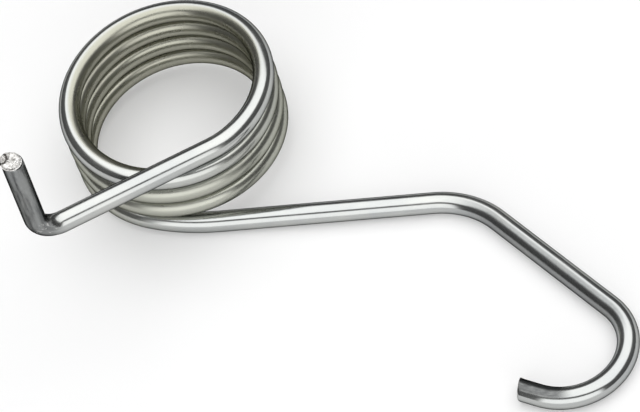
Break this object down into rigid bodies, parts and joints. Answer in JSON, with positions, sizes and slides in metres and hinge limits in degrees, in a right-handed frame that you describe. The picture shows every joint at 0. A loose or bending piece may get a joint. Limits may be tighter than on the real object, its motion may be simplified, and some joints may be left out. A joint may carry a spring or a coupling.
{
  "type": "torsion spring",
  "caption": "Left-hand wound torsion spring bent from round zinc-plated wire, with a turned-up tail at one end and a long bent arm ending in an open hook.",
  "frame": {"origin": "on the coil's axis, level with the underside of the hooked arm", "axes": "+Z along the coil's axis, toward the free end of the tail; +X along the straight arm, away from the coil"},
  "size_m": [0.1066, 0.086, 0.0422],
  "materials": {
    "zinc_wire": "bright zinc-plated round spring wire, drawn lines along its length"
  },
  "bodies": {
    "root": {"spring_wire": "zinc_wire"}
  },
  "joints": []
}
